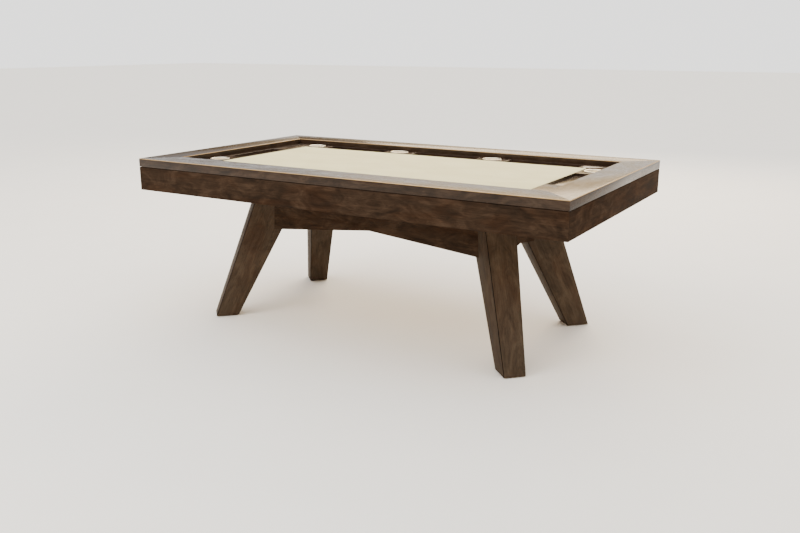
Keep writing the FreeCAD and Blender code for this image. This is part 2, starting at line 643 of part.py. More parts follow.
def card_top():
    """Plywood base with the cup holes, the padded cloth, the slots' floors and the feet."""
    bores = [(x, y, "Size.cup_radius + Size.cup_play") for side in SIDES for x, y in seats(side)[0]]
    base = stacked("game_top_base",
                   [(rectangle(CARD_X, CARD_Y), [], bores, CARD_UNDER, "Size.base_thick")])
    keep(base, "game_top_base")
    field = box("field", f"2 * ({FIELD_X} - Size.field_play)", f"2 * ({FIELD_Y} - Size.field_play)",
                "Size.surround_thick + Size.field_rise", f"-{FIELD_X} + Size.field_play",
                f"-{FIELD_Y} + Size.field_play", CARD_BASE)
    keep(field, "cloth_field")
    floors = []
    for side in SIDES:
        half_x, half_y = slot_half_sizes(side)
        half_x = f"({half_x} - Size.liner_play)"
        half_y = f"({half_y} - Size.liner_play)"
        for index, (x, y) in enumerate(seats(side)[1]):
            floors.append(box(f"slot_floor_{side}_{index}", f"2 * {half_x}", f"2 * {half_y}",
                              "Size.liner_thick", f"{x} - {half_x}", f"{y} - {half_y}", CARD_BASE))
    keep(compound("slot_floors", floors), "chip_slot_liners")
    foot_base = f"({PLAY} + Size.lift_gap)"
    feet = []
    foot_tall = f"{CARD_UNDER} - {foot_base}"
    foot_y = f"({CARD_Y} - Size.top_foot_side)"
    for foot_x in ("Size.top_foot_near", f"({CARD_X} - Size.top_foot_end)"):
        for x_sign in ("", "-"):
            for y_sign in ("", "-"):
                feet.append(cylinder(f"top_foot_{len(feet)}", "Size.top_foot_radius", foot_tall,
                                     f"{x_sign}{foot_x}", f"{y_sign}{foot_y}", foot_base))
    keep(compound("top_feet", feet), "game_top_feet")


def cup_holders():
    """Eight turned cup holders that drop into the surround and hang by their flanges."""
    flange_under = f"({CARD} + Size.lift_gap)"
    flange_top = f"({flange_under} + Size.flange_thick)"
    floor = f"({flange_under} - Size.cup_deep)"
    inside = "Size.cup_radius - Size.cup_wall"
    profile = [("0", floor), ("Size.cup_radius", floor), ("Size.cup_radius", flange_under),
               (FLANGE, flange_under), (FLANGE, flange_top),
               (inside, flange_top), (inside, f"{floor} + Size.cup_wall"),
               ("0", f"{floor} + Size.cup_wall")]
    for side in SIDES:
        for index, (x, y) in enumerate(seats(side)[0], start=1):
            name = f"cup_holder_{side}" if side in ("left", "right") else f"cup_holder_{side}_{index}"
            keep(turned(name, profile, x, y), name)


def build_all():
    for side in SIDES:
        top_rail(side)
        apron(side)
        rail_block(side)
        cushion(side)
        surround(side)
    corner_blocks()
    bed()
    for side in ("left", "right"):
        pocket_cup(side)
    bumpers()
    for name, (along_x, along_y) in LEGS.items():
        leg(name, along_x, along_y)
        leveller(name, along_x, along_y)
    blocks = [foot_block(name, *signs) for name, signs in LEGS.items()]
    keep(compound("foot_blocks", blocks), "leg_foot_blocks")
    leg_fixings()
    underframe()
    card_top()
    cup_holders()
    doc.recompute()


def check_all():
    """Stop if any object failed to build or any sub-part isn't a sound solid."""
    for item in doc.Objects:
        if "Invalid" in item.State or "Error" in item.State:
            raise RuntimeError(f"{item.Label} did not build: {item.State}")
    for item in nodes:
        if item.Shape.isNull() or not item.Shape.isValid() or not item.Shape.Solids:
            raise RuntimeError(f"{item.Label} has no sound solid")


def export_all():
    os.makedirs("parts", exist_ok=True)
    for item in nodes:
        item.Shape.exportStep(f"parts/{item.Label}.step")
    print(f"{len(nodes)} sub-parts written")


build_all()
check_all()
export_all()
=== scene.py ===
import bmesh
import bpy
import math
from mathutils import Matrix, Vector


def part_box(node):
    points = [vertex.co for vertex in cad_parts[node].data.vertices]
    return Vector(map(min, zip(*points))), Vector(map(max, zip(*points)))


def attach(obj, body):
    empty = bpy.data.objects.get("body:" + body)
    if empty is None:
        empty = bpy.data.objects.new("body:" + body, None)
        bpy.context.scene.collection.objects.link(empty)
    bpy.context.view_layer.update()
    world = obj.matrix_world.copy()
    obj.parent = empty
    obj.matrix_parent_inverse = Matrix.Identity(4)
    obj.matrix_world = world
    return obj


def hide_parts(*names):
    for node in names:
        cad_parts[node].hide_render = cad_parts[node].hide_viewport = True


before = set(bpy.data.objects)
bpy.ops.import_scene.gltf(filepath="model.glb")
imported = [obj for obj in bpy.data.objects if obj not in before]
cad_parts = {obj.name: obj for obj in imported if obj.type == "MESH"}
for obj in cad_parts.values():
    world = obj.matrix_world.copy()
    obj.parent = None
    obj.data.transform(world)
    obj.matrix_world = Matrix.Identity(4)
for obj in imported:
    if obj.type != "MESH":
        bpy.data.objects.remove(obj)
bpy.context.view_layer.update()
scene = bpy.context.scene


# ------------------------------------------------------------------ studio
# A pale painted floor inside tan walls that are dark at the left, under a white ceiling. One wide
# soft light stands high in front and one behind. The level lacquered boards mirror the walls.

def linear(code):
    """An sRGB hex colour as linear numbers, with alpha 1."""
    parts = [int(code[i:i + 2], 16) / 255 for i in (1, 3, 5)]
    return [p / 12.92 if p <= 0.04045 else ((p + 0.055) / 1.055) ** 2.4 for p in parts] + [1.0]


def add(tree, kind, settings=None, links=None):
    """Adds a node; settings gives its sockets and properties, links says what feeds a socket."""
    node = tree.nodes.new("ShaderNode" + kind)
    for key, value in (settings or {}).items():
        if isinstance(key, int) or key in node.inputs:
            node.inputs[key].default_value = value
        else:
            setattr(node, key, value)
    for key, source in (links or {}).items():
        tree.links.new(source, node.inputs[key])
    return node


def new_material(name):
    """An empty node material and its tree."""
    material = bpy.data.materials.new(name)
    material.use_nodes = True
    material.node_tree.nodes.clear()
    return material, material.node_tree


def close_material(tree, settings, links):
    """Ends a material in one Principled shader."""
    shader = add(tree, "BsdfPrincipled", settings, links)
    add(tree, "OutputMaterial", links={"Surface": shader.outputs[0]})


def colour_ramp(tree, source, stops):
    """Turns a value into colours; stops are (position, hex colour)."""
    node = add(tree, "ValToRGB", links={0: source})
    points = node.color_ramp.elements
    points[0].position, points[1].position = stops[0][0], stops[-1][0]
    points[0].color, points[1].color = linear(stops[0][1]), linear(stops[-1][1])
    for position, code in stops[1:-1]:
        points.new(position).color = linear(code)
    return node.outputs[0]


def spread(tree, source, low, high, to_low=0.0, to_high=1.0):
    """Spreads the part of a value between low and high over a new range."""
    node = add(tree, "MapRange", {"From Min": low, "From Max": high, "To Min": to_low,
                                  "To Max": to_high}, {"Value": source})
    return node.outputs[0]


def mix(tree, share, first, second, mode="MIX"):
    """Blends two colours; each input is a socket or a plain value."""
    node = add(tree, "Mix", {"data_type": "RGBA", "blend_type": mode})
    for source, socket in ((share, 0), (first, 6), (second, 7)):
        if isinstance(source, bpy.types.NodeSocket):
            tree.links.new(source, node.inputs[socket])
        else:
            node.inputs[socket].default_value = source
    return node.outputs[2]


FLOOR_HALF = 40.0
FLOOR_MOTTLE = 3.0             # patches of the floor's paint in a metre
FLOOR_ROUGH = 0.8
SKY_STRENGTH = 2.2
HORIZON_BAND = (0.045, 0.10)   # the sky is white up to here, like the floor that it meets
CEILING_BAND = (0.30, 0.55)    # the walls end here and the white ceiling starts
WALL_TONES = [(0.125, "#332a1e"), (0.20, "#7a6645"), (0.25, "#c3a576"), (0.29, "#dcbb84"),
              (0.35, "#e2c38f")]

# The studio is dark at its left and lit over the rest, so a level lacquered board is dark at the
# table's left end and pale at its right end.
sky = bpy.data.worlds.new("studio_sky")
scene.world = sky
sky.use_nodes = True
tree = sky.node_tree
toward = add(tree, "SeparateXYZ", links={0: add(tree, "TexCoord").outputs["Generated"]})
walls = colour_ramp(tree, spread(tree, toward.outputs["X"], -1.0, 1.0), WALL_TONES)
above_floor = mix(tree, spread(tree, toward.outputs["Z"], *HORIZON_BAND), linear("#f6f5f3"), walls)
dome = mix(tree, spread(tree, toward.outputs["Z"], *CEILING_BAND), above_floor, linear("#fdfcfa"))
tree.links.new(dome, tree.nodes["Background"].inputs["Color"])
tree.nodes["Background"].inputs["Strength"].default_value = SKY_STRENGTH

# Matt floor paint: nearly even, with patches too faint to draw the eye.
floor_material, tree = new_material("painted_floor")
place = add(tree, "TexCoord")
mottle = add(tree, "TexNoise", {"Scale": FLOOR_MOTTLE, "Detail": 2.0},
             {"Vector": place.outputs["Object"]})
tone = add(tree, "Mix", {"data_type": "RGBA", 6: linear("#f7f5f1"), 7: linear("#faf9f6")},
           {0: mottle.outputs["Fac"]})
close_material(tree, {"Roughness": FLOOR_ROUGH, "Specular IOR Level": 0.2},
               {"Base Color": tone.outputs[2]})
floor_mesh = bpy.data.meshes.new("studio_floor")
bm = bmesh.new()
bmesh.ops.create_grid(bm, x_segments=1, y_segments=1, size=FLOOR_HALF)
bm.to_mesh(floor_mesh)
bm.free()
floor_mesh.materials.append(floor_material)
floor = bpy.data.objects.new("studio_floor", floor_mesh)
scene.collection.objects.link(floor)


def soft_light(name, place, target, width, height, power, colour):
    """A rectangular lamp that faces its target."""
    light = bpy.data.lights.new(name, "AREA")
    light.shape = "RECTANGLE"
    light.size = width
    light.size_y = height
    light.energy = power
    light.color = linear(colour)[:3]
    lamp = bpy.data.objects.new(name, light)
    lamp.location = place
    lamp.rotation_euler = (Vector(target) - Vector(place)).to_track_quat("-Z", "Y").to_euler()
    scene.collection.objects.link(lamp)


soft_light("key_light", place=(-2.6, -4.2, 4.6), target=(0, 0, 0.6), width=3.2, height=2.4,
           power=160, colour="#fffaf2")
soft_light("rear_light", place=(-1.4, 5.2, 3.8), target=(0, 0, 0.8), width=5.0, height=2.2,
           power=360, colour="#ffe6c2")

LENS = 37.86                   # in mm, for a sensor 36 mm wide
CAMERA_PLACE = (2.1185, -3.5027, 1.3636)
CAMERA_TILT = 75.07            # degrees up from straight down
CAMERA_TURN = 31.0

camera_data = bpy.data.cameras.new("camera")
camera_data.lens = LENS
camera_data.sensor_width = 36.0
camera = bpy.data.objects.new("camera", camera_data)
camera.location = CAMERA_PLACE
camera.rotation_euler = (math.radians(CAMERA_TILT), 0.0, math.radians(CAMERA_TURN))
scene.collection.objects.link(camera)
scene.camera = camera


# ------------------------------------------------------------------ top rails
# Four flat boards of American walnut, mitred at the corners and glued down on the aprons. They
# have a dark stain under satin lacquer, and their long top edges are rounded to 3 mm.

SIDES = ("front", "back", "left", "right")
GRAINS = ((1, 0, 0), (0, 1, 0))
X_AXIS = Vector((1, 0, 0))
RAIL_ROUND = 0.003
LONG_ARRIS = 0.5            # the rounded arrises are longer than this, the mitres' edges shorter
ARRIS_TILT = (0.15, 0.99)   # how far up the faces of a rounding point: past upright, short of level
EASED = 0.0005              # sanded edge of a board; at a mitre two of them make the fine groove
SHARP_EDGE = math.radians(30)
TOUCH = 0.00001             # heights nearer than this are the same height
BLOTCH = 0.055              # across the grain, patches where the stain took unevenly
RING_LINE = 0.007           # spacing of the growth rings on a flat-sawn face
FLECK = 0.010               # width of the short pale flecks in figured wood
PORE = 0.0012               # real pores are 0.3 mm wide; drawn coarser so that they show
BOARD_TONES = ("#231c17", "#32271f", "#42352b")
LACQUER = 0.12              # satin lacquer on the level boards, which mirror the studio
LACQUER_ROUGH = (0.17, 0.27)
RUBBED = 0.002              # rubbed, nearly matt finish on the upright boards
RUBBED_ROUGH = (0.5, 0.62)
FLECK_PALE = "#5e442f"
WARM_STREAK = "#3a2110"
PORE_DARK = "#0b0704"
ARRIS_PAINTED_HIGHLIGHT = "#a58a64"  # pale colour on the rails' rounded top edges: a painted highlight
NOTCH_PAINTED_SHADE = "#070504"    # near-black on the walls of the legs' corner notches: painted shade


def grain_space(tree, along, shift):
    """Object coordinates turned so that X runs along the grain, in a fresh part of the log."""
    turn = Vector(along).normalized().rotation_difference(X_AXIS).to_euler()
    place = add(tree, "TexCoord")
    start = (shift, 0.7 * shift, 1.3 * shift)
    mapping = add(tree, "Mapping", {"Rotation": turn, "Location": start},
                  {"Vector": place.outputs["Object"]})
    return mapping.outputs["Vector"]


def stretched_noise(tree, space, along, across, detail=3.0, roughness=0.5, distortion=0.0):
    """Noise whose cells are `along` metres long and `across` metres wide."""
    scale = (1 / along, 1 / across, 1 / across)
    scaled = add(tree, "VectorMath", {"operation": "MULTIPLY", 1: scale}, {0: space})
    noise = add(tree, "TexNoise", {"Scale": 1.0, "Detail": detail, "Roughness": roughness,
                                   "Distortion": distortion}, {"Vector": scaled.outputs[0]})
    return noise.outputs["Fac"]


def stained_walnut(name, along, shift, tones=BOARD_TONES, gloss=RUBBED, rough=RUBBED_ROUGH):
    """Walnut board: blotches of stain, long growth rings and pores, under a clear finish, with a
    painted highlight on faces marked arris and painted shade on faces marked notch.
    """
    dark, middle, pale = tones
    material, tree = new_material(name)
    space = grain_space(tree, along, shift)
    blotches = stretched_noise(tree, space, BLOTCH * 2.4, BLOTCH, 4.0, 0.62, 1.1)
    rings = stretched_noise(tree, space, RING_LINE * 40, RING_LINE, 3.0, 0.6, 0.8)
    warmth = stretched_noise(tree, space, BLOTCH * 5, BLOTCH * 1.7, 2.0, 0.5, 0.7)
    flecks = stretched_noise(tree, space, 0.03, FLECK, 3.0, 0.7, 2.2)
    pores = stretched_noise(tree, space, PORE * 25, PORE, 2.0, 0.5)
    stain = colour_ramp(tree, blotches, [(0.3, dark), (0.5, middle), (0.72, pale)])
    ringed = mix(tree, 1.0, stain, spread(tree, rings, 0.3, 0.7, 0.82, 1.17), "MULTIPLY")
    flecked = mix(tree, spread(tree, flecks, 0.62, 0.8, 0.0, 0.25), ringed, linear(FLECK_PALE))
    warmed = mix(tree, spread(tree, warmth, 0.45, 0.7, 0.0, 0.25), flecked, linear(WARM_STREAK))
    lines = spread(tree, pores, 0.6, 0.7)
    colour = mix(tree, spread(tree, lines, 0.0, 1.0, 0.0, 0.5), warmed, linear(PORE_DARK))
    # Faces marked arris take a pale colour: a painted highlight along the rails' rounded top edges.
    arris_highlight = add(tree, "Attribute", {"attribute_name": "arris"}).outputs["Fac"]
    colour = mix(tree, arris_highlight, colour, linear(ARRIS_PAINTED_HIGHLIGHT))
    # Faces marked notch take near-black: painted shade in the legs' corner notches.
    notch_shade = add(tree, "Attribute", {"attribute_name": "notch"}).outputs["Fac"]
    colour = mix(tree, notch_shade, colour, linear(NOTCH_PAINTED_SHADE))
    bump = add(tree, "Bump", {"Strength": 0.2, "Distance": 0.0003, "invert": True},
               {"Height": lines})
    close_material(tree, {"IOR": 1.5, "Specular IOR Level": gloss},
                   {"Base Color": colour, "Normal": bump.outputs[0],
                    "Roughness": spread(tree, blotches, 0.3, 0.7, *rough)})
    return material


def settle(name, bm, material, body, nodes=(), sharp=35.0):
    """Writes a shaped piece, gives it its finish and fixes it to its body."""
    mesh = bpy.data.meshes.new(name)
    bm.to_mesh(mesh)
    bm.free()
    mesh.polygons.foreach_set("use_smooth", [True] * len(mesh.polygons))
    mesh.set_sharp_from_angle(angle=math.radians(sharp))
    mesh.materials.append(material)
    piece = bpy.data.objects.new(name, mesh)
    scene.collection.objects.link(piece)
    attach(piece, body)
    if nodes:
        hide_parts(*nodes)
    return piece


def bevel_edges(bm, edges, radius, segments=2):
    bmesh.ops.bevel(bm, geom=edges, offset=radius, offset_type="OFFSET", affect="EDGES",
                    segments=segments, profile=0.5, clamp_overlap=True, material=-1)


def round_edges(bm, radius, segments=2, chosen=None):
    """Rounds the sharp edges, or those of them that `chosen` picks."""
    edges = [e for e in bm.edges if len(e.link_faces) == 2 and e.calc_face_angle(0) > SHARP_EDGE
             and (chosen is None or chosen(e))]
    bevel_edges(bm, edges, radius, segments)


def run_of(side):
    """The axis that a side's boards run along, 0 for X or 1 for Y."""
    return 0 if side in ("front", "back") else 1


def mitred_bar(side, profile, outer, inner):
    """One side of a mitred frame. profile lists (share of the way in, height) round the section;
    outer and inner are the frame's half sizes."""
    run = run_of(side)
    sign = -1 if side in ("front", "left") else 1
    bm = bmesh.new()
    section = []
    for share, height in profile:
        half = [outer[axis] + (inner[axis] - outer[axis]) * share for axis in (0, 1)]
        spot = Vector((sign * half[0], sign * half[1], height))
        spot[run] = -half[run]
        section.append(bm.verts.new(spot))
    end = bm.faces.new(section)
    grown = bmesh.ops.extrude_face_region(bm, geom=[end])["geom"]
    for vert in (item for item in grown if isinstance(item, bmesh.types.BMVert)):
        vert.co[run] = -vert.co[run]
    bmesh.ops.recalc_face_normals(bm, faces=bm.faces)
    return bm


def mark_faces(bm, name, chosen):
    """Stores 1 on the faces that `chosen` picks, which the walnut's finish reads."""
    layer = bm.faces.layers.float.new(name)
    for face in bm.faces:
        face[layer] = 1.0 if chosen(face) else 0.0


def runs_along(edge, axis):
    span = edge.verts[1].co - edge.verts[0].co
    return abs(span[axis]) > 0.9 * span.length


def on_long_arris(face):
    """Whether a face belongs to the rounding along a rail's top edge."""
    tilted = ARRIS_TILT[0] < face.normal.z < ARRIS_TILT[1]
    high = face.calc_center_median().z > rail_top - RAIL_ROUND
    return tilted and high and max(edge.calc_length() for edge in face.edges) > LONG_ARRIS


rail_low, rail_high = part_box("cap_back")
outer_half = (rail_high.x, rail_high.y)
inner_half = (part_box("cap_right")[0].x, rail_low.y)
rail_top = rail_high.z
rail_section = [(0, rail_low.z), (0, rail_top), (1, rail_top), (1, rail_low.z)]
for index, side in enumerate(SIDES):
    run = run_of(side)
    board = mitred_bar(side, rail_section, outer_half, inner_half)
    round_edges(board, RAIL_ROUND, 4,
                lambda e: runs_along(e, run) and e.verts[0].co.z > rail_top - TOUCH)
    round_edges(board, EASED)
    board.normal_update()
    # The rounded top edges are marked to take the painted highlight.
    mark_faces(board, "arris", on_long_arris)
    finish = stained_walnut(f"walnut_rail_{side}", GRAINS[run], 3.1 + 2.7 * index, BOARD_TONES,
                            LACQUER, LACQUER_ROUGH)
    settle(f"rail_{side}", board, finish, "table", [f"cap_{side}"])


# ------------------------------------------------------------------ aprons
# Four walnut side boards, mitred and glued round the bed. A rebate along each top edge leaves
# the dark line under the rail.

SHADOW_GAP = 0.003
SHADOW_DEPTH = 0.006

apron_low, apron_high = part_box("apron_back")
apron_inner = (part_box("apron_right")[0].x, apron_low.y)
rebate = SHADOW_DEPTH / (apron_high.y - apron_low.y)
line_under = apron_high.z - SHADOW_GAP
apron_section = [(0, apron_low.z), (0, line_under), (rebate, line_under), (rebate, apron_high.z),
                 (1, apron_high.z), (1, apron_low.z)]
for index, side in enumerate(SIDES):
    board = mitred_bar(side, apron_section, outer_half, apron_inner)
    round_edges(board, EASED)
    finish = stained_walnut(f"walnut_side_{side}", GRAINS[run_of(side)], 17.2 + 3.3 * index)
    settle(f"side_board_{side}", board, finish, "table", [f"apron_{side}"])


# ------------------------------------------------------------------ legs
# Hollow tapered legs, each four walnut boards mitred lengthwise. A small square notch runs down
# every corner, and the grain runs up each board.

LEGS = (("front_left", -1, -1), ("front_right", 1, -1), ("back_left", -1, 1), ("back_right", 1, 1))
LEG_LEAN = 0.3205          # how far a leg moves in along X and along Y for each metre up
LEG_EASED = 0.0006
LEG_TONES = ("#332b24", "#40362d", "#4d4237")
LEG_GLOSS = 0.03
NOTCH_WIDEST = 0.004
NOTCH_SHORTEST = 0.1
WELD = 0.00002             # corners nearer than this are one corner
FLAT_ENOUGH = 0.6          # in degrees; triangles that turn less than this are one face


def merged_copy(node):
    """A copy of a CAD node's mesh with its loose triangles joined into whole faces."""
    bm = bmesh.new()
    bm.from_mesh(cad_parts[node].data)
    bmesh.ops.remove_doubles(bm, verts=bm.verts, dist=WELD)
    bmesh.ops.dissolve_limit(bm, angle_limit=math.radians(FLAT_ENOUGH), verts=bm.verts,
                             edges=bm.edges)
    return bm


def in_notch(face):
    """Whether a face is one of the long narrow walls of a corner notch."""
    length = max(edge.calc_length() for edge in face.edges)
    return length > NOTCH_SHORTEST and face.calc_area() / length < NOTCH_WIDEST


for index, (leg, along_x, along_y) in enumerate(LEGS):
    up_the_leg = (-along_x * LEG_LEAN, -along_y * LEG_LEAN, 1)
    for step, pair in enumerate(("wide", "narrow")):
        boards = merged_copy(f"leg_{leg}_{pair}_boards")
        # The notch walls are marked to take painted shade, a near-black line.
        mark_faces(boards, "notch", in_notch)
        round_edges(boards, LEG_EASED)
        finish = stained_walnut(f"walnut_leg_{leg}_{pair}", up_the_leg,
                                29.5 + 4.1 * index + 1.7 * step, LEG_TONES, LEG_GLOSS)
        settle(f"leg_{leg}_{pair}", boards, finish, "table", [f"leg_{leg}_{pair}_boards"])


# ------------------------------------------------------------------ underframe
# Four walnut beams between the legs, 40 mm thick, housed against the legs' faces. Their bottom
# edges rise to the middle in a shallow point.

for index, side in enumerate(SIDES):
    beam = merged_copy(f"beam_{side}")
    round_edges(beam, LEG_EASED)
    finish = stained_walnut(f"walnut_beam_{side}", GRAINS[run_of(side)], 51.4 + 2.1 * index)
    settle(f"underframe_{side}", beam, finish, "table", [f"beam_{side}"])


# ------------------------------------------------------------------ card top's surround
# Four mitred walnut boards on the plywood base. The chip slots and the cup holes are routed
# through them, and every routed edge is rounded over by 1 mm.

ROUTED = 0.0010

for index, side in enumerate(SIDES):
    board = merged_copy(f"surround_{side}")
    round_edges(board, ROUTED)
    finish = stained_walnut(f"walnut_card_{side}", GRAINS[run_of(side)], 63.7 + 1.9 * index,
                            BOARD_TONES, LACQUER, LACQUER_ROUGH)
    settle(f"card_board_{side}", board, finish, "game_top", [f"surround_{side}"])


# ------------------------------------------------------------------ padded cloth
# Cream speed cloth stretched over thin foam and stapled under the edge, so that its edge is
# rolled and the middle is flat. It swells a little under its own foam.

CLOTH_THREAD = 0.0008      # real threads are 0.35 mm; drawn coarser so that they show
SLUB = 0.002               # width of the thicker stretches of thread
CLOUD = (0.16, 0.11)       # patches where the foam under the cloth varies a little
ROLL = 0.0045              # radius of the rolled edge
ROLL_STEPS = (22.5, 45, 67.5, 90)
SKIN_STEP = 0.010
PAD_SLACK = 0.0010         # the pad starts this much smaller than its space, and swells
SWELL_UP = 0.0010
SWELL_OUT = 0.0005
FOAM_PRESSURE = 4.0
FOAM_FRAMES = 20


def woven(tree, thread, space):
    """Height of a plain weave, threads along X and Y."""
    waves = []
    for direction in ("X", "Y"):
        wave = add(tree, "TexWave", {"bands_direction": direction, "Scale": math.pi / 10 / thread,
                                     "Distortion": 0.0}, {"Vector": space})
        waves.append(wave.outputs["Fac"])
    return add(tree, "Math", {"operation": "MULTIPLY"}, {0: waves[0], 1: waves[1]}).outputs[0]


def cloth(name, deep, pale, thread, roughness, sheen):
    """Woven cloth: threads, faint slubs and a soft sheen."""
    material, tree = new_material(name)
    space = add(tree, "TexCoord").outputs["Object"]
    weave = woven(tree, thread, space)
    slubs = stretched_noise(tree, space, 0.03, SLUB, 2.0)
    clouds = stretched_noise(tree, space, *CLOUD, 2.0)
    tone = mix(tree, spread(tree, clouds, 0.35, 0.65), linear(deep), linear(pale))
    colour = mix(tree, 1.0, tone, spread(tree, slubs, 0.2, 0.8, 0.95, 1.04), "MULTIPLY")
    colour = mix(tree, 1.0, colour, spread(tree, weave, 0.0, 1.0, 0.93, 1.03), "MULTIPLY")
    bump = add(tree, "Bump", {"Strength": 0.35, "Distance": thread / 3}, {"Height": weave})
    close_material(tree, {"Roughness": roughness, "Specular IOR Level": 0.25, "Sheen Weight": sheen,
                          "Sheen Roughness": 0.4, "Sheen Tint": linear(pale)},
                   {"Base Color": colour, "Normal": bump.outputs[0]})
    return material


def swollen(piece, pinned, up, out):
    """Inflates a pad with a cloth simulation, and keeps every point within its limits."""
    start = [vert.co.copy() for vert in piece.data.vertices]
    piece.vertex_groups.new(name="glued").add(pinned, 1.0, "REPLACE")
    cloth_modifier = piece.modifiers.new("foam", "CLOTH")
    settings = cloth_modifier.settings
    settings.use_pressure = True
    settings.uniform_pressure_force = FOAM_PRESSURE
    settings.vertex_group_mass = "glued"
    settings.effector_weights.gravity = 0.0
    cloth_modifier.collision_settings.use_collision = False
    cloth_modifier.point_cache.frame_start = 1
    cloth_modifier.point_cache.frame_end = FOAM_FRAMES
    for step in range(1, FOAM_FRAMES + 1):
        scene.frame_set(step)
    grown = piece.evaluated_get(bpy.context.evaluated_depsgraph_get()).to_mesh()
    for vert, old, new in zip(piece.data.vertices, start, grown.vertices):
        move = new.co - old
        limit = (out, out, up)
        vert.co = old + Vector([max(-limit[i], min(limit[i], move[i])) for i in range(3)])
    piece.modifiers.clear()
    scene.frame_set(1)


pad_low, pad_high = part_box("cloth_field")
half = [pad_high[axis] - PAD_SLACK - ROLL for axis in (0, 1)]
bm = bmesh.new()
bmesh.ops.create_grid(bm, x_segments=round(2 * half[0] / SKIN_STEP),
                      y_segments=round(2 * half[1] / SKIN_STEP), size=0.5)
bmesh.ops.scale(bm, vec=(2 * half[0], 2 * half[1], 1), verts=bm.verts)
bmesh.ops.translate(bm, vec=(0, 0, pad_high.z - SWELL_UP), verts=bm.verts)
wall = pad_high.z - SWELL_UP - ROLL - pad_low.z
turns = [math.radians(angle) for angle in ROLL_STEPS]
steps = [(ROLL * math.sin(a), ROLL * (1 - math.cos(a))) for a in turns]
steps += [(ROLL, ROLL + wall / 2), (ROLL, ROLL + wall)]
last = (0.0, 0.0)
rim = [edge for edge in bm.edges if edge.is_boundary]
for out, down in steps:
    geom = bmesh.ops.extrude_edge_only(bm, edges=rim)["geom"]
    rim = [item for item in geom if isinstance(item, bmesh.types.BMEdge) and item.is_boundary]
    for vert in (item for item in geom if isinstance(item, bmesh.types.BMVert)):
        for axis in (0, 1):
            if abs(vert.co[axis]) > half[axis] + last[0] - TOUCH:
                vert.co[axis] += math.copysign(out - last[0], vert.co[axis])
        vert.co.z -= down - last[1]
    last = (out, down)
bmesh.ops.recalc_face_normals(bm, faces=bm.faces)
if sum(face.normal.z for face in bm.faces) < 0:
    bmesh.ops.reverse_faces(bm, faces=bm.faces)
bm.verts.index_update()
glued = sorted({vert.index for edge in rim for vert in edge.verts})
card_cloth = cloth("cream_speed_cloth", "#e2d9a5", "#e9e1af", CLOTH_THREAD, 0.75, 0.1)
pad = settle("card_cloth", bm, card_cloth, "game_top", ["cloth_field"], 60.0)
swollen(pad, glued, SWELL_UP, SWELL_OUT)
bm = bmesh.new()
bm.from_mesh(pad.data)
bmesh.ops.contextual_create(bm, geom=[edge for edge in bm.edges if edge.is_boundary])
bm.to_mesh(pad.data)
bm.free()


# ------------------------------------------------------------------ chip slot floors
# A strip of lacquered walnut veneer glued on the plywood in the bottom of each chip slot.

VENEER_EASED = 0.0002


def islands(node):
    """Lowest and highest corners of each separate solid in a CAD node."""
    bm = bmesh.new()
    bm.from_mesh(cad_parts[node].data)
    bmesh.ops.remove_doubles(bm, verts=bm.verts, dist=WELD)
    found = []
    waiting = set(bm.verts)
    while waiting:
        group = [waiting.pop()]
        for vert in group:
            for edge in vert.link_edges:
                other = edge.other_vert(vert)
                if other in waiting:
                    waiting.remove(other)
                    group.append(other)
        spots = [vert.co for vert in group]
        found.append((Vector([min(s[i] for s in spots) for i in range(3)]),
                      Vector([max(s[i] for s in spots) for i in range(3)])))
    bm.free()
    return sorted(found, key=lambda pair: tuple(round(value, 4) for value in pair[0]))


def middle(low, high):
    """The upright axis of a box, as X and Y."""
    return (low.x + high.x) / 2, (low.y + high.y) / 2


for index, (low, high) in enumerate(islands("chip_slot_liners"), start=1):
    bm = bmesh.new()
    bmesh.ops.create_grid(bm, x_segments=2, y_segments=2, size=0.5)
    bmesh.ops.solidify(bm, geom=bm.faces, thickness=1.0)
    bmesh.ops.translate(bm, vec=(0, 0, -min(vert.co.z for vert in bm.verts)), verts=bm.verts)
    size = high - low
    bmesh.ops.scale(bm, vec=size, verts=bm.verts)
    bmesh.ops.translate(bm, vec=(*middle(low, high), low.z), verts=bm.verts)
    round_edges(bm, VENEER_EASED)
    grain = GRAINS[0 if size.x > size.y else 1]
    finish = stained_walnut(f"walnut_slot_floor_{index}", grain, 70.3 + 1.3 * index, BOARD_TONES,
                            LACQUER, LACQUER_ROUGH)
    settle(f"slot_floor_{index}", bm, finish, "game_top", ["chip_slot_liners"])


# ------------------------------------------------------------------ plywood base and its feet
# Birch plywood, sanded, under the surround and the cloth. Eight turned beech feet are glued
# under it and stand it on the bed cloth.

PLY = 0.0013               # thickness of one veneer
VENEER_TURN = (0.0005, 0.0008)  # heights in the pattern where a dark veneer turns to a pale one
BEECH_TONES = ("#4a2f1d", "#5f4028", "#765338")
TOP_FOOT_NECK = 0.8        # share of the foot's radius at its neck
TOP_FOOT_FLARE = (0.010, 0.012)  # the foot widens between these, from its bottom and from its top
TOP_FOOT_CHAMFER = 0.002
TOP_FOOT_EASED = 0.001

# Sanded birch: pale and silky on its faces, and striped with veneers where it is cut.
ply, tree = new_material("birch_plywood")
space = grain_space(tree, (1, 0, 0), 5.5)
figure = stretched_noise(tree, space, 0.5, 0.012, 3.0, 0.55, 0.6)
place = add(tree, "TexCoord").outputs["Object"]
height = add(tree, "SeparateXYZ", links={0: place}).outputs["Z"]
layer = add(tree, "Math", {"operation": "PINGPONG", 1: PLY}, {0: height}).outputs[0]
facing = add(tree, "SeparateXYZ", links={0: add(tree, "NewGeometry").outputs["Normal"]})
level = add(tree, "Math", {"operation": "ABSOLUTE"}, {0: facing.outputs["Z"]}).outputs[0]
face = colour_ramp(tree, figure, [(0.3, "#b8946a"), (0.7, "#d2b48c")])
edge = mix(tree, spread(tree, layer, *VENEER_TURN), linear("#8a6844"), linear("#c7a678"))
close_material(tree, {"Roughness": 0.6, "Specular IOR Level": 0.3},
               {"Base Color": mix(tree, spread(tree, level, 0.4, 0.6), edge, face)})
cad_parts["game_top_base"].material_slots[0].material = ply


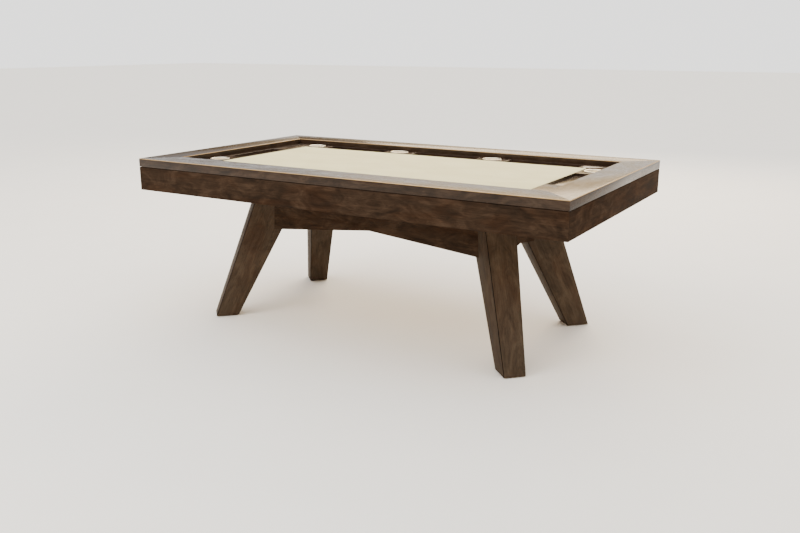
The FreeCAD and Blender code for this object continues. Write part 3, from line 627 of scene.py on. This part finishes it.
def turned(profile, centre, steps=48, bm=None):
    """A lathe-turned solid; profile is (radius, height) from the axis round to the axis."""
    bm = bm or bmesh.new()
    verts = [bm.verts.new((centre[0] + radius, centre[1], height)) for radius, height in profile]
    closing = 0 if profile[0][0] == 0 else 1
    edges = [bm.edges.new(pair) for pair in zip(verts, verts[1:] + verts[:closing])]
    bmesh.ops.spin(bm, geom=verts + edges, cent=(centre[0], centre[1], 0), axis=(0, 0, 1),
                   angle=2 * math.pi, steps=steps, use_merge=True, use_duplicate=False)
    bmesh.ops.remove_doubles(bm, verts=bm.verts, dist=WELD / 4)
    bmesh.ops.recalc_face_normals(bm, faces=bm.faces)
    return bm


top_feet = None
for low, high in islands("game_top_feet"):
    radius = (high.x - low.x) / 2
    neck = TOP_FOOT_NECK * radius
    shape = [(0, low.z), (neck - TOP_FOOT_CHAMFER, low.z), (neck, low.z + TOP_FOOT_CHAMFER),
             (neck, low.z + TOP_FOOT_FLARE[0]), (radius, high.z - TOP_FOOT_FLARE[1]),
             (radius, high.z - TOP_FOOT_EASED), (radius - TOP_FOOT_EASED, high.z), (0, high.z)]
    top_feet = turned(shape, middle(low, high), 32, top_feet)
settle("turned_feet", top_feet, stained_walnut("stained_beech", (0, 0, 1), 77.0, BEECH_TONES),
       "game_top", ["game_top_feet"], 25.0)


# ------------------------------------------------------------------ cup holders
# Spun steel cups with a rolled flange, satin finished under a warm clear lacquer. Each drops
# into its hole and hangs by the flange.

SPIN_MARK = 0.0006         # real turning marks are 0.1 mm apart; drawn coarser so that they show
SATIN_ROUGH = (0.26, 0.36)
CUP_STEPS = 64

# Spun steel: soft reflections broken by fine rings, and a warm tint from its lacquer.
cup_metal, tree = new_material("satin_spun_steel")
radius_and_height = add(tree, "UVMap", {"uv_map": "lathe"}).outputs[0]
marks = stretched_noise(tree, radius_and_height, SPIN_MARK, SPIN_MARK, 2.0, 0.6)
handling = stretched_noise(tree, add(tree, "TexCoord").outputs["Object"], 0.03, 0.03, 3.0)
tone = mix(tree, spread(tree, handling, 0.3, 0.7), linear("#efe6d2"), linear("#f8f2e4"))
bump = add(tree, "Bump", {"Strength": 0.12, "Distance": 0.0002}, {"Height": marks})
close_material(tree, {"Metallic": 1.0},
               {"Base Color": tone, "Normal": bump.outputs[0],
                "Roughness": spread(tree, marks, 0.3, 0.7, *SATIN_ROUGH)})


def lathe_map(bm, centre):
    """Stores each point's radius and height, which turning marks follow."""
    layer = bm.loops.layers.uv.new("lathe")
    for face in bm.faces:
        for loop in face.loops:
            spot = loop.vert.co
            loop[layer].uv = (math.hypot(spot.x - centre[0], spot.y - centre[1]), spot.z)


# radius from the axis and height, in mm, from the flange's top or from the cup's bottom
FLANGE_SHAPE = [(42.0, -2.0), (47.6, -2.0), (48.3, -1.7), (48.5, -1.1), (48.2, -0.5), (47.2, -0.15),
                (45.6, 0.0), (43.8, 0.0), (42.4, -0.3), (41.4, -0.9), (40.8, -1.8), (40.5, -3.2)]
CUP_INSIDE = [(40.5, 6.0), (40.0, 4.0), (38.8, 2.5), (37.0, 1.7), (35.0, 1.5), (25.0, 1.5),
              (24.0, 1.9), (22.5, 2.2), (21.0, 1.9), (20.0, 1.5), (0.0, 1.5)]
CUP_OUTSIDE = [(0.0, 0.0), (39.0, 0.0), (40.8, 0.7), (41.7, 2.0), (42.0, 3.8)]
for name in sorted(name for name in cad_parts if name.startswith("cup_holder_")):
    low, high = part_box(name)
    centre = middle(low, high)
    shape = [(r / 1000, low.z + z / 1000) for r, z in CUP_OUTSIDE]
    shape += [(r / 1000, high.z + z / 1000) for r, z in FLANGE_SHAPE]
    shape += [(r / 1000, low.z + z / 1000) for r, z in CUP_INSIDE]
    bm = turned(shape, centre, CUP_STEPS)
    lathe_map(bm, centre)
    settle(name.replace("holder", "liner"), bm, cup_metal, name, [name], 50.0)


# ------------------------------------------------------------------ bed
# A flat board with worsted cloth stretched over it, which the bumpers and the cushions stand on.
# It lies on three cross bearers.

WORSTED_THREAD = 0.0010    # real threads are 0.4 mm; drawn coarser so that they show
FIBRE_SPECK = 0.003        # real fibres are 1 mm long; drawn coarser so that they show
FIBRE_WAVE = 0.2

# Pressed wood fibre, left raw: dull and brown, with specks.
fibreboard, tree = new_material("raw_fibreboard")
space = add(tree, "TexCoord").outputs["Object"]
specks = stretched_noise(tree, space, FIBRE_SPECK, FIBRE_SPECK, 4.0, 0.7)
waves = stretched_noise(tree, space, FIBRE_WAVE, FIBRE_WAVE, 2.0)
tone = mix(tree, spread(tree, specks, 0.3, 0.7), linear("#8f6f4d"), linear("#a98a66"))
tone = mix(tree, 1.0, tone, spread(tree, waves, 0.3, 0.7, 0.93, 1.05), "MULTIPLY")
close_material(tree, {"Roughness": 0.85, "Specular IOR Level": 0.2}, {"Base Color": tone})
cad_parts["bed_panel"].material_slots[0].material = fibreboard

worsted = cloth("worsted_bed_cloth", "#1d4632", "#245239", WORSTED_THREAD, 0.85, 0.3)
low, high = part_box("bed_cloth")
sheet = settle("bed_cloth_sheet", merged_copy("bed_cloth"), worsted, "table",
               ["bed_cloth"])


# ------------------------------------------------------------------ cushions
# Rubber of a triangular section glued to the rail blocks, with the bed's cloth wrapped tight over
# the nose and tucked behind.

NOSE_ROUND = 0.004
NOSE_START = 0.72          # shares of the cushion's width and height where its section turns
NOSE_DROP = 0.04
NOSE_TOP = 0.82
NOSE_BOTTOM = 0.62
NOSE_UNDER = 0.42

cushion_low, cushion_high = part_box("cushion_back")
cushion_outer = (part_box("cushion_right")[1].x, cushion_high.y)
cushion_inner = (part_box("cushion_right")[0].x, cushion_low.y)
tall = cushion_high.z - cushion_low.z
nose_section = [(0, cushion_low.z), (0, cushion_high.z),
                (NOSE_START, cushion_high.z - NOSE_DROP * tall),
                (1, cushion_low.z + NOSE_TOP * tall), (1, cushion_low.z + NOSE_BOTTOM * tall),
                (NOSE_UNDER, cushion_low.z)]
for side in SIDES:
    bm = mitred_bar(side, nose_section, cushion_outer, cushion_inner)
    round_edges(bm, NOSE_ROUND, 3)
    bar = settle(f"cushion_cloth_{side}", bm, worsted, "table",
                 [f"cushion_{side}"], 60.0)


# ------------------------------------------------------------------ bumpers
# Twelve posts, each screwed to the bed, with a red rubber ring round it and a cream cap that
# holds the ring down.

MOULD_GRAIN = 0.0008       # real texture is 0.05 mm; drawn coarser so that it shows
MOULD_CLOUD = 0.02
BUMPER_STEPS = 40
RING_BORE = 0.0151
RING_EASED = (0.002, 0.0025)   # the ring's rounded corners: in from its side, and up or down
RING_GROOVE = (0.011, 0.013, 0.019, 0.021)  # heights where the groove round the ring turns
RING_GROOVE_DEEP = 0.0018
POST_RADIUS = 0.015
CAP_CLEAR = 0.0001             # air between the ring's top and the cap
CAP_SHAPE = [(0.0200, 0), (0.021, 0.0010), (0.0207, 0.0022), (0.0185, 0.0034)]
CAP_CROWN = 0.012              # radius of the flat in the middle of the cap


def moulded(name, deep, pale, roughness, level):
    """Moulded plastic or rubber: one colour with faint clouds and a fine grain."""
    material, tree = new_material(name)
    space = add(tree, "TexCoord").outputs["Object"]
    clouds = stretched_noise(tree, space, MOULD_CLOUD, MOULD_CLOUD, 2.0)
    texture = stretched_noise(tree, space, MOULD_GRAIN, MOULD_GRAIN, 3.0, 0.6)
    bump = add(tree, "Bump", {"Strength": 0.15, "Distance": MOULD_GRAIN / 5}, {"Height": texture})
    tone = mix(tree, spread(tree, clouds, 0.3, 0.7), linear(deep), linear(pale))
    rough = spread(tree, texture, 0.3, 0.7, roughness - 0.05, roughness + 0.05)
    close_material(tree, {"Specular IOR Level": level},
                   {"Base Color": tone, "Roughness": rough, "Normal": bump.outputs[0]})
    return material


ring_rubber = moulded("red_rubber", "#7d1a14", "#8e2119", 0.55, 0.4)
post_plastic = moulded("cream_plastic", "#d9cfb4", "#e4dbc3", 0.25, 0.5)
rings = None
posts = None
post_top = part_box("bumper_posts")[1].z
for low, high in islands("bumper_rings"):
    centre = middle(low, high)
    reach = (high.x - low.x) / 2
    base, top = low.z, high.z
    side_in, side_up = RING_EASED
    waist = reach - RING_GROOVE_DEEP
    groove = zip((reach, waist, waist, reach), RING_GROOVE)
    ring_shape = [(RING_BORE, base), (reach - side_in, base), (reach, base + side_up)]
    ring_shape += [(radius, base + up) for radius, up in groove]
    ring_shape += [(reach, top - side_up), (reach - side_in, top), (RING_BORE, top)]
    rings = turned(ring_shape, centre, BUMPER_STEPS, rings)
    under_cap = top + CAP_CLEAR
    post_shape = [(0, base), (POST_RADIUS, base), (POST_RADIUS, under_cap)]
    post_shape += [(radius, under_cap + up) for radius, up in CAP_SHAPE]
    post_shape += [(CAP_CROWN, post_top), (0, post_top)]
    posts = turned(post_shape, centre, BUMPER_STEPS, posts)
settle("bumper_rubber_rings", rings, ring_rubber, "table", ["bumper_rings"], 40.0)
settle("bumper_caps_and_posts", posts, post_plastic, "table", ["bumper_posts"], 40.0)


# ------------------------------------------------------------------ pocket cups
# Black moulded cups that hang in the bed by a thin rim and catch the balls.

pocket_plastic = moulded("black_moulded_plastic", "#0c0c0c", "#151515", 0.45, 0.4)
# radius from the axis and height from the bottom, in mm
POCKET_SHAPE = [(0.0, 0.0), (34.0, 0.0), (36.8, 1.2), (38.0, 4.0), (38.0, 50.0), (43.0, 50.0),
                (43.8, 50.3), (44.0, 50.8), (43.4, 51.3), (42.0, 51.5), (38.0, 51.5), (36.6, 50.9),
                (36.0, 49.5), (36.0, 6.0), (34.8, 3.2), (32.0, 2.0), (0.0, 2.0)]
for side in ("left", "right"):
    low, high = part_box(f"pocket_cup_{side}")
    centre = ((low.x + high.x) / 2, 0.0)
    bm = turned([(r / 1000, low.z + z / 1000) for r, z in POCKET_SHAPE], centre, 56)
    settle(f"pocket_liner_{side}", bm, pocket_plastic, "table",
           [f"pocket_cup_{side}"], 50.0)


# ------------------------------------------------------------------ hidden softwood
# Planed pine under the bed and behind the cushions: bearers, rail blocks, corner blocks and the
# blocks in the legs' feet. It has no finish.

PINE_RING = 0.009
PINE_FIBRE = 0.0015        # real fibres are 0.04 mm wide; drawn coarser so that they show
PINE_TONES = [(0.35, "#a9814f"), (0.5, "#c9a673"), (0.7, "#d8b988")]
PINE_PIECES = ((("rail_block_front", "rail_block_back"), (1, 0, 0), 81.0),
               (("rail_block_left", "rail_block_right", "bed_bearers"), (0, 1, 0), 84.0),
               (("apron_corner_blocks", "leg_foot_blocks"), (0, 0, 1), 87.0))


def planed_pine(name, along, shift):
    """Planed pine: pale and dull, with broad growth rings."""
    material, tree = new_material(name)
    space = grain_space(tree, along, shift)
    rings = stretched_noise(tree, space, 0.6, PINE_RING, 2.0, 0.5, 0.5)
    fibres = stretched_noise(tree, space, 0.06, PINE_FIBRE, 2.0)
    tone = colour_ramp(tree, rings, PINE_TONES)
    tone = mix(tree, 1.0, tone, spread(tree, fibres, 0.2, 0.8, 0.92, 1.05), "MULTIPLY")
    close_material(tree, {"Roughness": 0.7, "Specular IOR Level": 0.25}, {"Base Color": tone})
    return material


for names, grain, shift in PINE_PIECES:
    pine = planed_pine("planed_pine_" + "xyz"[grain.index(1)], grain, shift)
    for name in names:
        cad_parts[name].material_slots[0].material = pine


# ------------------------------------------------------------------ leg fixings
# Zinc-plated steel: a plate inset in the top of each leg, and two hexagon bolts up through it
# into the bearer.

BLOOM = 0.012              # patches where the plating took unevenly
DRAW_LINE = 0.0006         # real draw lines are 0.05 mm apart; drawn coarser so that they show
HEAD_TALL = 0.006
HEAD_CHAMFER = 0.0009
BOLT_RADIUS = 0.005


def steel(name, deep, pale, roughness):
    """Plated or blackened steel: metallic, clouded, with faint lines from drawing."""
    material, tree = new_material(name)
    space = add(tree, "TexCoord").outputs["Object"]
    bloom = stretched_noise(tree, space, BLOOM, BLOOM, 4.0, 0.6)
    drawn = stretched_noise(tree, space, 0.02, DRAW_LINE, 2.0)
    bump = add(tree, "Bump", {"Strength": 0.1, "Distance": 0.0001}, {"Height": drawn})
    tone = mix(tree, spread(tree, bloom, 0.3, 0.7), linear(deep), linear(pale))
    rough = spread(tree, bloom, 0.3, 0.7, roughness, roughness + 0.15)
    close_material(tree, {"Metallic": 1.0},
                   {"Base Color": tone, "Roughness": rough, "Normal": bump.outputs[0]})
    return material


zinc = steel("zinc_plated_steel", "#8d9094", "#a9abad", 0.3)
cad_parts["leg_top_plates"].material_slots[0].material = zinc
bolts = bmesh.new()
for low, high in islands("leg_bolts"):
    x, y = middle(low, high)
    ring = bmesh.ops.create_circle(bolts, cap_ends=True, segments=6, radius=(high.x - low.x) / 2,
                                   matrix=Matrix.Translation((x, y, low.z)))["verts"]
    head = bmesh.ops.extrude_face_region(bolts, geom=[ring[0].link_faces[0]])["geom"]
    top_verts = [item for item in head if isinstance(item, bmesh.types.BMVert)]
    bmesh.ops.translate(bolts, vec=(0, 0, HEAD_TALL), verts=top_verts)
    rim = {edge for vert in ring for edge in vert.link_edges if all(v in ring for v in edge.verts)}
    bevel_edges(bolts, list(rim), HEAD_CHAMFER)
    shank_middle = (low.z + HEAD_TALL + high.z) / 2
    bmesh.ops.create_cone(bolts, cap_ends=True, segments=24, radius1=BOLT_RADIUS,
                          radius2=BOLT_RADIUS, depth=high.z - low.z - HEAD_TALL,
                          matrix=Matrix.Translation((x, y, shank_middle)))
bmesh.ops.recalc_face_normals(bolts, faces=bolts.faces)
settle("hexagon_bolts", bolts, zinc, "table", ["leg_bolts"])


# ------------------------------------------------------------------ levelling feet
# A blackened steel disc with a chamfered edge on a threaded stem, which screws into the block in
# the leg's foot.

THREAD_PITCH = 0.0015
THREAD_DEEP = 0.0007
STEM_RADIUS = 0.005
STEM_EASED = 0.001
# the disc's side from its bottom up: how far in from its rim, and how high
DISC_SHAPE = [(0.001, 0), (0, 0.001), (0, 0.0022), (0.003, 0.0034), (0.005, 0.0037)]

black_steel = steel("blackened_steel", "#1c1c1d", "#2c2b2a", 0.4)
for name in sorted(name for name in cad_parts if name.startswith("leveller_")):
    low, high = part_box(name)
    disc = (high.x - low.x) / 2
    disc_top = low.z + DISC_SHAPE[-1][1]
    shape = [(0, low.z)] + [(disc - inward, low.z + up) for inward, up in DISC_SHAPE]
    shape.append((STEM_RADIUS, disc_top))
    height = disc_top + THREAD_PITCH
    while height < high.z - 2 * THREAD_PITCH:
        shape += [(STEM_RADIUS, height), (STEM_RADIUS - THREAD_DEEP, height + THREAD_PITCH / 2)]
        height += THREAD_PITCH
    shape += [(STEM_RADIUS, height), (STEM_RADIUS - STEM_EASED, high.z), (0, high.z)]
    foot = turned(shape, middle(low, high), 40)
    settle(name.replace("leveller", "levelling_foot"), foot, black_steel, name,
           [name], 20.0)
